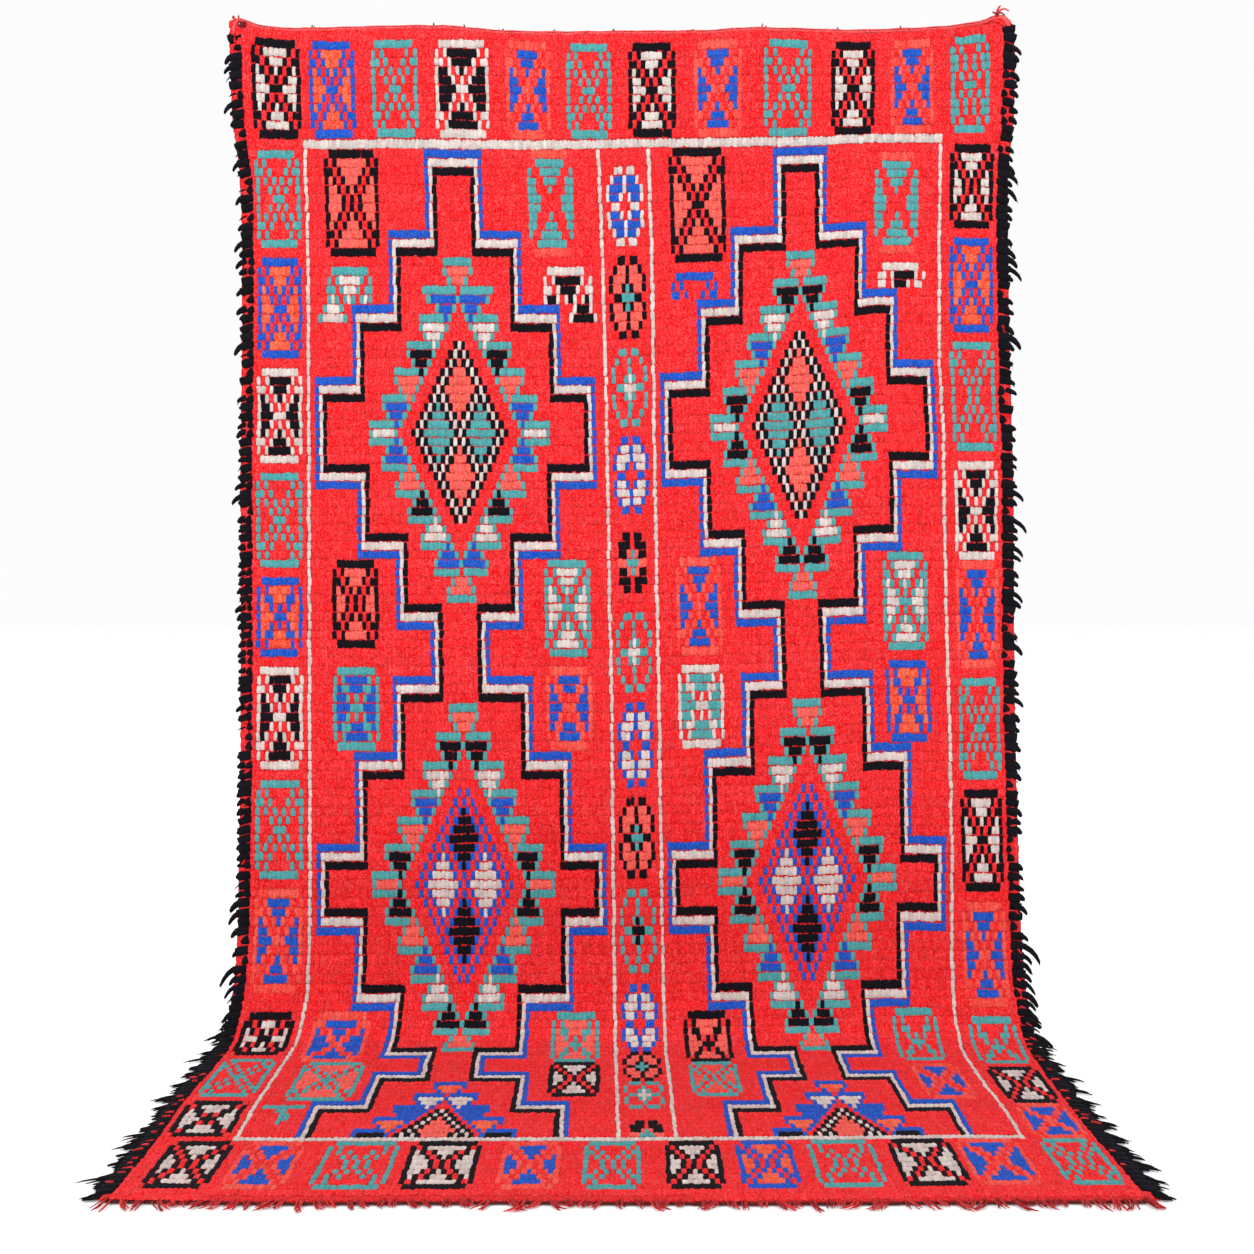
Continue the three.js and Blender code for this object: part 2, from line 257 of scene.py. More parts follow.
# run, across of: left line, left axis, the middle pair, right axis, right line
WARP_LINES = [
    (30, -701, -374, -66, 42, 377, 671), (250, -694, -370, -63, 45, 375, 673),
    (470, -687, -366, -54, 53, 375, 672),
    (700, -686, -361, -47, 56, 371, 671), (860, -685, -360, -43, 58, 371, 680),
    (1250, -684, -355, -37, 65, 380, 686), (1490, -683, -352, -32, 69, 389, 694),
    (1800, -682, -350, -30, 74, 388, 700), (2070, -683, -349, -26, 78, 389, 697),
    (2260, -692, -348, -23, 81, 391, 690), (2400, -690, -339, -20, 83, 392, 689),
    (2540, -687, -339, -17, 84, 394, 694), (2670, -680, -336, -14, 85, 392, 689),
]
LINE_COLUMNS = (-77, -41, -6, 6, 41, 76)
EDGE_COLUMN = 90.5
SHOULDER_COLUMN = 93.5
SHOULDER_WIDE = 27


def on_cloth(column, row):
    """Across and run of a place in the knot grid."""
    column, row = np.broadcast_arrays(np.asarray(column, float), np.asarray(row, float))
    risen = row - straight_curve(RIGHT_RISE, row) * straight_curve(RISE_SHARE, column)
    run = straight_curve(ROW_RUN, risen)
    left, right = -side_edge(-1, run), side_edge(1, run)
    lines = [straight_curve(WARP_LINES, run, k + 1) for k in range(len(LINE_COLUMNS))]
    places = [left - SHOULDER_WIDE, left, *lines, right, right + SHOULDER_WIDE]
    columns = (-SHOULDER_COLUMN, -EDGE_COLUMN, *LINE_COLUMNS, EDGE_COLUMN, SHOULDER_COLUMN)
    across = np.zeros(column.shape)
    for k in range(len(columns) - 1):
        share = (column - columns[k]) / (columns[k + 1] - columns[k])
        inside = column >= columns[k]
        across = np.where(inside, places[k] + (places[k + 1] - places[k]) * share, across)
    sunk = straight_curve(ROW_SINK, across) * straight_curve(SINK_SHARE, row)
    return across, cloth_run(run, across) + sunk


# The chart of the pattern, in knots. Each yarn has a number, and the ground is 0.

RED, BLACK, WHITE, BLUE, TEAL, SALMON, ORANGE, FAINT = range(8)
FIRST_ROW, LAST_ROW = -13, 138
FIRST_COLUMN, LAST_COLUMN = -90, 90
FRONT_LINE = 125
chart = np.zeros((LAST_ROW - FIRST_ROW + 1, LAST_COLUMN - FIRST_COLUMN + 1), int)


def knot(column, row, yarn):
    if FIRST_COLUMN <= column <= LAST_COLUMN and FIRST_ROW <= row <= LAST_ROW:
        chart[int(row) - FIRST_ROW, int(column) - FIRST_COLUMN] = yarn


def bar(row, first, last, yarn):
    for column in range(int(min(first, last)), int(max(first, last)) + 1):
        knot(column, row, yarn)


def both_ways(axis, row, first, last, yarn):
    """A bar from first to last knots out, on both sides of an axis."""
    bar(row, axis + first, axis + last, yarn)
    bar(row, axis - last, axis - first, yarn)


def crossed_box(centre, wide, top, bottom, outline, filling):
    """A framed box with two crossing diagonals of ground, each edged with the outline's yarn."""
    half, tall = (wide - 1) // 2, bottom - top
    for row in range(top, bottom + 1):
        from_middle = abs(row - top - tall / 2)
        for column in range(-half, half + 1):
            out = abs(column)
            from_diagonal = out - from_middle * half / (tall / 2)
            if row in (top, bottom):
                yarn = outline if out < half else RED
            elif out == half or (from_middle < 0.4 and out <= 1):
                yarn = outline
            elif abs(from_diagonal) < 0.5:
                yarn = RED
            else:
                yarn = outline if abs(from_diagonal) < 1.5 else filling
            knot(centre + column, row, yarn)


# centre column, width, first row, last row, outline, filling
FIELD_BOXES = [
    (-66, 13, 1, 12, BLACK, SALMON), (-66, 11, 47, 56, BLACK, SALMON), (-66, 11, 59, 67, TEAL, BLUE),
    (-16, 11, 47, 57, TEAL, WHITE), (-16, 11, 59, 67, FAINT, BLUE),
    (-68, 13, 96, 104, FAINT, BLUE), (-66, 13, 105, 115, TEAL, SALMON),
    (-15, 11, 96, 104, TEAL, SALMON), (-15, 11, 105, 114, BLACK, WHITE),
    (17, 13, 1, 13, BLACK, SALMON), (16, 11, 47, 57, FAINT, BLUE), (16, 11, 59, 67, WHITE, TEAL),
    (66, 11, 47, 57, TEAL, WHITE), (66, 11, 59, 67, BLUE, ORANGE),
    (16, 11, 96, 104, BLACK, SALMON), (16, 11, 105, 114, TEAL, FAINT),
    (66, 11, 96, 104, TEAL, RED), (67, 11, 106, 115, FAINT, BLUE),
]
TOP_BOXES = [
    (-83, 11, BLACK, WHITE), (-70, 11, BLUE, ORANGE), (-55, 11, TEAL, RED), (-39, 13, WHITE, BLACK),
    (-23, 11, FAINT, BLUE), (-8, 11, TEAL, RED), (7, 11, BLACK, WHITE), (22, 11, FAINT, BLUE),
    (38, 11, TEAL, RED), (54, 11, BLACK, WHITE), (69, 11, FAINT, BLUE), (83, 9, TEAL, RED),
]
# first row, last row, outline, filling
LEFT_BOXES = [
    (1, 11, TEAL, RED), (13, 23, BLUE, ORANGE), (25, 35, WHITE, BLACK), (37, 47, TEAL, RED),
    (49, 57, BLUE, ORANGE), (59, 69, WHITE, BLACK), (71, 81, TEAL, RED), (83, 93, FAINT, BLUE),
    (96, 102, BLACK, WHITE), (104, 114, TEAL, RED), (116, 124, BLACK, WHITE),
]
RIGHT_BOXES = [
    (1, 10, BLACK, WHITE), (12, 22, BLUE, ORANGE), (24, 35, TEAL, RED), (37, 47, WHITE, BLACK),
    (48, 59, FAINT, BLUE), (61, 71, TEAL, RED), (73, 83, BLACK, WHITE), (85, 95, FAINT, BLUE),
    (97, 105, TEAL, RED), (107, 116, BLACK, WHITE), (117, 125, FAINT, BLUE),
]
# centre column, width, outline, filling
BOTTOM_BOXES = [
    (-82, 11, BLACK, WHITE), (-69, 11, FAINT, BLUE), (-53, 13, TEAL, RED),
    (-38, 13, BLACK, WHITE), (-22, 11, FAINT, BLUE), (-7, 11, TEAL, RED),
    (9, 11, BLACK, WHITE), (23, 11, BLUE, ORANGE), (38, 13, TEAL, RED),
    (54, 13, BLACK, WHITE), (68, 13, FAINT, BLUE), (84, 11, TEAL, RED),
]


def kite_box(centre, top, filling):
    """Four kites of filling between crossing bands of ground, with a faint bar above and below."""
    half, tall = 5, 11
    bottom = top + tall
    for row in (top, bottom):
        bar(row, centre - half + 1, centre + half - 1, FAINT)
    for row in range(top + 1, bottom):
        for column in range(-half, half + 1):
            from_diagonal = abs(column) - abs(row - top - tall / 2) * half / (tall / 2)
            if from_diagonal < -0.9 or from_diagonal > 1.7:
                knot(centre + column, row, filling)


def worked_rows(left, top, rows, yarns):
    """A small motif written out row by row, one letter a knot, a dot for ground."""
    for down, row in enumerate(rows):
        for right, letter in enumerate(row):
            if letter != ".":
                knot(left + right, top + down, yarns[letter])


def unfinished_boxes():
    """The small boxes that the weaver left off above the first diamonds."""
    yarns = {"T": TEAL, "W": WHITE, "K": BLACK, "B": BLUE}
    worked_rows(-73, 14, ["..TTTTTTTTT", ".T.TWWWWWT.T", ".TT.TWWWT.TT"], yarns)
    worked_rows(-74, 17, ["..TWT.TWT.TWT", ".TWWWT.......", "TWWWWWT......"], yarns)
    worked_rows(-20, 14, [".WWWWWWWWW.", "W.WKKKKKKW.W", "WW.WKKKKW.WW"], yarns)
    worked_rows(-20, 17, ["WKKW.WKW.WKW", ".......WKKKW", "......WKKKKKW"], yarns)
    worked_rows(11, 15, [".BBBBBBBBB.", "B.B.....B.B", "BB.B...B.BB"], yarns)
    worked_rows(61, 15, [".WWWWWWWWW.", "WW.WKKKKKW.W", "WW.WKKKW.WW"], yarns)
    worked_rows(-75, 117, ["TTTTTTTT", "...TT...", "....TT..", "....TT..", "....T..."], yarns)


# The stepped outline of the diamonds: the row of each step, and the columns that the black line takes
# from there, on the left and right of the left diamonds and then of the right ones
STEPS = [
    (3, -46, -37, 37, 45), (12, -55, -28, 27, 55), (20, -64, -19, 19, 63), (28, -73, -11, 10, 72),
    (36, -63, -20, 19, 63), (44, -54, -29, 27, 54), (52, -46, -37, 36, 45), (62, -55, -27, 28, 55),
    (70, -64, -18, 19, 64), (80, -73, -10, 10, 72), (85, -64, -18, 19, 63), (93, -55, -28, 27, 54),
    (101, -46, -37, 36, 45), (110, -55, -27, 28, 55), (118, -64, -18, 19, 64), (125, -64, -18, 19, 64),
]


def stepped_line(stands, side, offset, yarn):
    """One side of an outline; offset is how many knots it lies outside the black line."""
    columns = [stand + side * offset for stand in stands]
    starts = [STEPS[0][0] - offset]
    for step, stand, stand_before in zip(STEPS[1:], stands[1:], stands):
        starts.append(step[0] - offset if side * stand > side * stand_before else step[0] + offset)
    starts[-1] = STEPS[-1][0]
    for first, last, column in zip(starts, starts[1:], columns):
        for level in range(first, last + 1):
            knot(column, level, yarn)
    for level, column, column_before in zip(starts[1:-1], columns[1:], columns):
        bar(level, column, column_before, yarn)


def stepped_outline(left, right, offset, yarn):
    """One of the three nested lines, from its two columns of the table of steps."""
    bar(STEPS[0][0] - offset, STEPS[0][left] - offset, STEPS[0][right] + offset, yarn)
    stepped_line([step[left] for step in STEPS], -1, offset, yarn)
    stepped_line([step[right] for step in STEPS], 1, offset, yarn)


LOZENGE_HALF = 10


def lozenge(axis, centre, edge, line, upright, sideways):
    """A diamond of crossing chequered lines, with four filled quarters."""
    for row in range(-LOZENGE_HALF, LOZENGE_HALF + 1):
        for column in range(-LOZENGE_HALF - 1, LOZENGE_HALF + 2):
            out, away = abs(column), abs(row)
            reach = out + away
            if reach > LOZENGE_HALF + 1:
                continue
            if reach >= LOZENGE_HALF - 1:
                yarn = line if reach == LOZENGE_HALF else edge
            elif abs(out - away) <= 1:
                yarn = line if out == away else edge
            else:
                yarn = upright if away > out else sideways
            knot(axis + column, centre + row, yarn)


def hook_ring(axis, centre, outline, top, hooks, arm):
    """The ring of hooked triangles round a lozenge: a top motif, five hooks a quarter, and two arms."""

    def put(rows_out, first, last, yarn):
        for row in (centre - rows_out, centre + rows_out):
            both_ways(axis, row, first, last, yarn)

    put(19, 0, 3, outline)
    put(18, 0, 2, top)
    put(18, 3, 3, outline)
    put(17, 0, 1, top)
    put(17, 2, 2, outline)
    filling_before = None
    for k, filling in enumerate(hooks, 1):
        middle, base = 3 * k, 19 - 3 * k
        put(base, middle - 2, middle + 3, outline)
        if filling_before is not None:
            put(base, middle - 3, middle - 3, filling_before)
            put(base, middle - 4, middle - 4, outline)
        for step in (1, 2):
            put(base - step, middle - 3 + step, middle + 3 - step, filling)
            put(base - step, middle - 4 + step, middle - 4 + step, outline)
            put(base - step, middle + 4 - step, middle + 4 - step, outline)
        filling_before = filling
    put(1, 16, 21, outline)
    put(1, 15, 15, filling_before)
    put(1, 14, 14, outline)
    both_ways(axis, centre, 16, 20, arm)
    both_ways(axis, centre, 15, 15, outline)
    both_ways(axis, centre, 21, 21, outline)


# Half motifs of the middle band, from the middle column outwards: F outline, B filling, C centre
EYE = [".FF..", "FBBF.", "FBBBF", ".FBBF", "..FF."]
CROSS_EYE = [".FF..", "FBBF.", "FBBBF", "CFBBF", "CCFF."]
SMALL_EYE = [".FFF.", "FBBBF", "CFBBF", "CCFF."]
SOLID_EYE = [".FF..", ".FFF.", "CBFF.", "CCBB."]
# centre row, half motif, outline, filling, centre
MIDDLE_MOTIFS = [
    (7, EYE, WHITE, BLUE, RED), (17, CROSS_EYE, BLACK, SALMON, TEAL),
    (27, CROSS_EYE, TEAL, RED, WHITE), (37, EYE, BLUE, WHITE, RED),
    (47, SOLID_EYE, BLACK, SALMON, TEAL), (57, CROSS_EYE, TEAL, RED, WHITE),
    (67, EYE, BLUE, WHITE, RED), (77, CROSS_EYE, BLACK, SALMON, TEAL),
    (87, CROSS_EYE, TEAL, RED, BLACK), (97, EYE, BLUE, WHITE, RED),
    (106, CROSS_EYE, BLACK, SALMON, TEAL), (114, SMALL_EYE, TEAL, RED, WHITE),
    (124, SOLID_EYE, BLACK, SALMON, TEAL),
]


def middle_motif(centre, half_rows, outline, filling, heart):
    yarns = {"F": outline, "B": filling, "C": heart}
    for k, half_row in enumerate(half_rows):
        away = len(half_rows) - 1 - k
        for out, letter in enumerate(half_row):
            for row in (centre - away, centre + away):
                if letter != ".":
                    both_ways(0, row, out, out, yarns[letter])


def draw_pattern():
    for box in FIELD_BOXES:
        crossed_box(*box)
    kite_box(-18, 1, TEAL)
    kite_box(65, 2, TEAL)
    unfinished_boxes()
    for left, right in ((1, 2), (3, 4)):
        stepped_outline(left, right, 0, BLACK)
        stepped_outline(left, right, 1, WHITE)
        stepped_outline(left, right, 2, BLUE)
    first_left = (SALMON, (BLUE, WHITE, BLACK, SALMON, BLUE), WHITE)
    first_right = (SALMON, (BLACK, WHITE, BLUE, SALMON, BLACK), WHITE)
    second = (SALMON, (BLACK, WHITE, BLUE, SALMON, BLACK), SALMON)
    third = (ORANGE, (WHITE, BLUE, ORANGE, BLACK, WHITE), SALMON)
    for axis, first in ((-41, first_left), (41, first_right)):
        hook_ring(axis, 32, TEAL, *first)
        hook_ring(axis, 82, TEAL, *second)
        hook_ring(axis, 130, BLUE, *third)
        lozenge(axis, 32, BLACK, WHITE, SALMON, TEAL)
        lozenge(axis, 82, BLUE, RED, BLACK, WHITE)
        lozenge(axis, 128, BLACK, WHITE, SALMON, TEAL)
    # the first ring begins with wider hooks
    both_ways(-41, 16, 1, 8, TEAL)
    both_ways(-41, 17, 1, 6, BLUE)
    both_ways(-41, 17, 7, 7, TEAL)
    for motif in MIDDLE_MOTIFS:
        middle_motif(*motif)
    # the middle band and the diamonds end at the front white line
    chart[FRONT_LINE + 1 - FIRST_ROW :] = RED
    for row in (0, FRONT_LINE):
        bar(row, LINE_COLUMNS[0], LINE_COLUMNS[-1], WHITE)
    for row in range(1, FRONT_LINE):
        for column in (LINE_COLUMNS[0], -6, 6, LINE_COLUMNS[-1]):
            knot(column, row, WHITE)
    for centre, wide, *yarns in TOP_BOXES:
        crossed_box(centre, wide, -11, -1, *yarns)
    for centre, wide, *yarns in BOTTOM_BOXES:
        crossed_box(centre, wide, FRONT_LINE + 1, FRONT_LINE + 10, *yarns)
    for top, bottom, *yarns in LEFT_BOXES:
        crossed_box(-84, 11, top, bottom, *yarns)
    for top, bottom, *yarns in RIGHT_BOXES:
        crossed_box(84, 11, top, bottom, *yarns)


draw_pattern()


# Yarns

def dyed(red, green, blue):
    """The wool's own colour, from how it looks in the photograph's light."""
    seen = np.array([red, green, blue]) / 255
    linear = np.where(seen <= 0.04045, seen / 12.92, ((seen + 0.055) / 1.055) ** 2.4)
    return linear / 1.33


YARNS = np.array([
    dyed(243, 48, 52), dyed(20, 18, 25), dyed(219, 210, 204), dyed(36, 90, 197),
    dyed(85, 166, 168), dyed(248, 101, 91), dyed(246, 98, 70), dyed(246, 84, 74),
])
HEM_RED = dyed(240, 94, 95)
DARK_RED = dyed(188, 26, 34)


# Meshes

def on_rug(across, run, up):
    """Places on the flat rug, from numbers or arrays that go together."""
    return np.stack(np.broadcast_arrays(across, run, up), -1)


def smooth_mesh(name, places, faces):
    mesh = bpy.data.meshes.new(name)
    mesh.from_pydata(places.tolist(), [], faces.tolist())
    mesh.shade_smooth()
    return mesh


def paint(mesh, domain, colours):
    """Gives every point or face corner of a mesh its yarn colour."""
    yarn = mesh.color_attributes.new("yarn", "FLOAT_COLOR", domain)
    colours = np.concatenate([colours, np.ones((len(colours), 1))], 1)
    yarn.data.foreach_set("color", colours.astype(np.float32).ravel())
    mesh.color_attributes.active_color = yarn


def add_piece(name, mesh):
    piece = bpy.data.objects.new(name, mesh)
    scene.collection.objects.link(piece)
    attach(piece, "root")
    return piece


def toned(base, light):
    """The colours of plain strands: a base made lighter or darker for each."""
    return (base * light)[:, None]


def strand_faces(points, sides):
    """Triangles of one closed strand: a tip, rings, and a tip."""
    rings = points - 2
    last = 1 + rings * sides
    faces = []
    for j in range(sides):
        k = (j + 1) % sides
        faces.append((0, 1 + k, 1 + j))
        faces.append((last, last - sides + j, last - sides + k))
        for r in range(rings - 1):
            a, b = 1 + r * sides, 1 + (r + 1) * sides
            faces += [(a + j, a + k, b + k), (a + j, b + k, b + j)]
    return np.array(faces)


# Every strand's colour carries painted shade: its sides and underside are darker than its top.
def strands(name, paths, wide, high, sides, yarn, colours, painted_side_shade=0.8, press=None):
    """Many closed tapering strands in one mesh on the draped rug. Each path's first and last points are
    its tips. yarn is a slot and a material. press is how far a strand's sides still turn away where its
    neighbours press against it."""
    count, points = paths.shape[:2]
    middle = slice(1, points - 1)
    wide = np.broadcast_to(wide, (count, points))[:, middle, None, None]
    high = np.broadcast_to(high, (count, points))[:, middle, None, None]
    colours = np.broadcast_to(colours, (count, points, 3))
    ahead = np.gradient(paths, axis=1)
    ahead /= np.linalg.norm(ahead, axis=2, keepdims=True)
    level = np.stack([-ahead[..., 1], ahead[..., 0], np.zeros((count, points))], -1)
    level /= np.maximum(np.linalg.norm(level, axis=2, keepdims=True), 1e-6)
    raised = np.cross(ahead, level)
    angle = math.pi / 2 + 2 * math.pi * np.arange(sides) / sides
    cosine, sine = np.cos(angle)[:, None], np.sin(angle)[:, None]
    rings = paths[:, middle, None] + cosine * (wide * level[:, middle, None])
    rings = (rings + sine * (high * raised[:, middle, None])).reshape(count, -1, 3)
    flat = np.concatenate([paths[:, :1], rings, paths[:, -1:]], 1)
    # painted shade: each ring keeps its full colour on top and is darkened down its sides and underside, by
    # the share given for the strand
    shade = painted_side_shade + (1 - painted_side_shade) * np.maximum(sine, 0)
    painted_shade_colours = (colours[:, middle, None] * shade).reshape(count, -1, 3)
    painted_shade_colours = np.concatenate([colours[:, :1], painted_shade_colours, colours[:, -1:]], 1)
    each = flat.shape[1]
    places = drape(flat).reshape(-1, 3)
    faces = (strand_faces(points, sides) + each * np.arange(count)[:, None, None]).reshape(-1, 3)
    a, b, c = (places[faces[:, k]] for k in range(3))
    if np.einsum("ij,ij->i", a, np.cross(b, c)).sum() < 0:
        faces = faces[:, ::-1]
    mesh = smooth_mesh(name, places, faces)
    if press is not None:
        turned = press * cosine * level[:, middle, None]
        upright = (sine + 1 - np.abs(sine)) * raised[:, middle, None]
        first_tip = raised[:, :1] - press * ahead[:, :1]
        last_tip = raised[:, -1:] + press * ahead[:, -1:]
        lean = np.concatenate([first_tip, (turned + upright).reshape(count, -1, 3), last_tip], 1)
        facing = drape(flat + 0.5 * lean).reshape(-1, 3) - places
        facing /= np.linalg.norm(facing, axis=1, keepdims=True)
        mesh.normals_split_custom_set_from_vertices(facing.tolist())
    paint(mesh, "POINT", painted_shade_colours.reshape(-1, 3))
    slot, material = yarn
    mesh.materials.append(material)
    return add_piece(name, mesh)


# Materials

def maths(tree, operation, *values):
    node = tree.nodes.new("ShaderNodeMath")
    node.operation = operation
    connect(tree, node, dict(enumerate(values)))
    return node.outputs[0]


def vector_maths(tree, operation, first, second):
    node = tree.nodes.new("ShaderNodeVectorMath")
    node.operation = operation
    connect(tree, node, {0: first, "Scale" if operation == "SCALE" else 1: second})
    return node.outputs["Value" if operation == "DOT_PRODUCT" else "Vector"]


def attribute(tree, name, output):
    node = tree.nodes.new("ShaderNodeAttribute")
    node.attribute_name = name
    return node.outputs[output]


def noise(tree, place, scale, detail):
    node = tree.nodes.new("ShaderNodeTexNoise")
    connect(tree, node, {"Vector": place, "Scale": scale, "Detail": detail})
    return node.outputs["Fac"]


def add_bump(tree, shader, height, strength, distance):
    bump = tree.nodes.new("ShaderNodeBump")
    connect(tree, bump, {"Height": height, "Strength": strength, "Distance": distance})
    connect(tree, shader, {"Normal": bump.outputs[0]})


def matt_material(name, settings):
    """A new matt material, with its node tree and shader, and the place that its patterns read."""
    material = bpy.data.materials.new(name)
    material.use_nodes = True
    tree = material.node_tree
    shader = tree.nodes["Principled BSDF"]
    connect(tree, shader, settings)
    return material, tree, shader, tree.nodes.new("ShaderNodeTexCoord").outputs["Object"]


def wool_material(name, fibre_scale, fibre_bump, roughness, sheen):
    """Matt spun wool in the colour of its yarn, uneven along its length, with a fine lay of fibres."""
    settings = {"Roughness": roughness, "Specular IOR Level": 0.06}
    settings |= {"Sheen Weight": sheen, "Sheen Roughness": 0.6}
    material, tree, shader, place = matt_material(name, settings)
    yarn = attribute(tree, "yarn", "Color")
    fibres = noise(tree, place, fibre_scale, 3)
    strength = maths(tree, "MULTIPLY_ADD", noise(tree, place, 130, 4), 0.5, 0.53)
    strength = maths(tree, "MULTIPLY_ADD", fibres, 0.44, strength)
    # fine light and dark flecks, strongest in light yarn
    fleck = maths(tree, "MULTIPLY_ADD", noise(tree, place, 330, 2), 0.7, -0.35)
    lightness = vector_maths(tree, "DOT_PRODUCT", yarn, (0.5, 0.5, 0.5))
    fleck = maths(tree, "MULTIPLY", fleck, lightness)
    flecked = vector_maths(tree, "ADD", vector_maths(tree, "SCALE", yarn, strength), fleck)
    darkest = (0.004, 0.004, 0.005)
    connect(tree, shader, {"Base Color": vector_maths(tree, "MAXIMUM", flecked, darkest)})
    add_bump(tree, shader, fibres, fibre_bump, 0.0012)
    return material


def woven_back_material():
    """The flat woven back: red wefts packed in ribs, with a line of knots showing at each row."""
    settings = {"Roughness": 0.95, "Specular IOR Level": 0.15, "Sheen Weight": 0.1}
    material, tree, shader, place = matt_material("woven_back", settings)
    yarn = attribute(tree, "yarn", "Color")
    parts = tree.nodes.new("ShaderNodeSeparateXYZ")
    connect(tree, parts, {0: attribute(tree, "weave", "Vector")})
    column, row = parts.outputs["X"], parts.outputs["Y"]
    cloud = noise(tree, place, 90, 5)
    # how near a row's line of knots, and how near the middle of one of a knot's two loops
    from_line = maths(tree, "ABSOLUTE", maths(tree, "SUBTRACT", maths(tree, "FRACT", row), 0.5))
    line = maths(tree, "SUBTRACT", 1.0, maths(tree, "MULTIPLY", from_line, 4.6))
    loops = maths(tree, "ABSOLUTE", maths(tree, "SINE", maths(tree, "MULTIPLY", column, 2 * math.pi)))
    loops = maths(tree, "POWER", loops, 0.6)
    nodule = maths(tree, "MULTIPLY", maths(tree, "MAXIMUM", line, 0.0), loops)
    shows = tree.nodes.new("ShaderNodeMapRange")
    connect(tree, shows, {"From Min": 0.16, "From Max": 0.34, "Value": nodule})
    ribs = maths(tree, "SINE", maths(tree, "MULTIPLY", row, 2 * math.pi * 7))
    ribs = maths(tree, "MULTIPLY_ADD", ribs, 0.5, 0.5)
    beads = maths(tree, "SINE", maths(tree, "MULTIPLY", column, 4 * math.pi))
    beads = maths(tree, "MULTIPLY_ADD", beads, 0.2, 0.8)
    weft = maths(tree, "MULTIPLY", ribs, beads)
    # the weft red is darker in the grooves between ribs and beads: painted shade, under a random cloud of
    # lighter and darker tone
    shade = maths(tree, "MULTIPLY_ADD", weft, 0.35, 0.55)
    shade = maths(tree, "MULTIPLY", shade, maths(tree, "MULTIPLY_ADD", cloud, 0.7, 0.65))
    weft_red = vector_maths(tree, "SCALE", tuple(YARNS[RED] * 0.85), shade)
    mixed = tree.nodes.new("ShaderNodeMix")
    mixed.data_type = "RGBA"
    connect(tree, mixed, {"Factor": shows.outputs[0], "A": weft_red, "B": yarn})
    connect(tree, shader, {"Base Color": mixed.outputs["Result"]})
    height = maths(tree, "MAXIMUM", maths(tree, "MULTIPLY", weft, 0.45), nodule)
    add_bump(tree, shader, height, 0.7, 0.0016)
    return material


pile_wool = wool_material("pile_wool", 1100, 0.5, 1.0, 0.02)
black_wool = wool_material("black_lock_wool", 900, 0.6, 0.95, 0.01)
twisted_yarn = wool_material("twisted_red_yarn", 1500, 0.5, 0.95, 0.03)
woven_back = woven_back_material()
PILE = ("wool_pile", pile_wool)
BINDING = ("selvedge_wool", pile_wool)
LOCKS = ("selvedge_wool", black_wool)
THREAD = ("warp_yarn", twisted_yarn)


# The ground cloth, with its woven back

BACK_UP = 0.4
FRONT_UP = 6.2


def ground_cloth():
    columns = np.arange(FIRST_COLUMN, LAST_COLUMN + 2) - 0.5
    rows = np.append(np.arange(FIRST_ROW, LAST_ROW) - 0.5, LAST_ROW - 0.65)
    grid_column, grid_row = np.meshgrid(columns, rows)
    across, run = on_cloth(grid_column, grid_row)
    run[0] = hem_run(across[0])
    run[1] = np.maximum(run[1], hem_run(across[1]) + 2)
    run[-1] = front_run(across[-1]) - 1.5
    count = across.size
    index = np.arange(count).reshape(across.shape)
    a, b, c, d = index[:-1, :-1], index[:-1, 1:], index[1:, 1:], index[1:, :-1]
    back_faces = np.stack([a, b, c, d], -1).reshape(-1, 4)
    front_faces = np.stack([d, c, b, a], -1).reshape(-1, 4) + count
    rim = np.concatenate([index[0], index[1:, -1], index[-1, -2::-1], index[-2:0:-1, 0]])
    after = np.roll(rim, -1)
    rim_faces = np.stack([after, rim, rim + count, after + count], -1)
    faces = np.concatenate([back_faces, front_faces, rim_faces])
    places = drape(np.concatenate([on_rug(across, run, BACK_UP), on_rug(across, run, FRONT_UP)]))
    mesh = smooth_mesh("ground_cloth", places.reshape(-1, 3), faces)
    # each knot's own colour on its face of the back, and the ground's on the front
    knots = YARNS[chart[: len(rows) - 1]].reshape(-1, 3)
    reds = np.tile(YARNS[RED] * 0.8, (len(front_faces) + len(rim_faces), 1))
    paint(mesh, "CORNER", np.repeat(np.concatenate([knots, reds]), 4, axis=0))
    weave = mesh.attributes.new("weave", "FLOAT_VECTOR", "POINT")
    in_knots = on_rug(grid_column - FIRST_COLUMN + 1.5, grid_row - FIRST_ROW + 0.5, 0)
    weave.data.foreach_set("vector", np.concatenate([in_knots, in_knots]).astype(np.float32).ravel())
    mesh.materials.append(woven_back)
    mesh.materials.append(pile_wool)
    inner = np.ones(len(faces), int)
    inner[: len(back_faces)] = 0
    mesh.polygons.foreach_set("material_index", inner)
    return add_piece("ground_cloth", mesh)


# The pile: one closed tuft a knot, lying up the rug over the row above

TUFT_HALF_WIDE = 6.2
TUFT_ALONG = np.array([0.5, 0.42, 0.04, -0.36, -0.5])
TUFT_WIDTHS = np.array([0, 0.84, 1.0, 0.86, 0])
TUFT_UP = np.array([6.4, 7.0, 7.7, 8.0, 7.8])
TUFT_HIGH = np.array([0, 1.5, 1.9, 1.6, 0])
# painted shade along each tuft: darkest at its root end under the row below, lightest on its middle ring,
# and its sides a little darker
TUFT_PAINTED_SHADE = np.array([0.62, 0.88, 1.0, 0.98, 0.88])
TUFT_PAINTED_SIDE_SHADE = 0.93
TUFT_PRESS = 0.55
# for each yarn, how long against its row, and how wide a knot stands where its neighbours differ
TUFT_LONG = [1.18, 1.0, 0.95, 0.97, 0.98, 1.04, 1.06, 1.1]
SINGLE_WIDE = [0.94, 1.02, 0.7, 0.9, 0.86, 0.86, 0.86, 0.9]


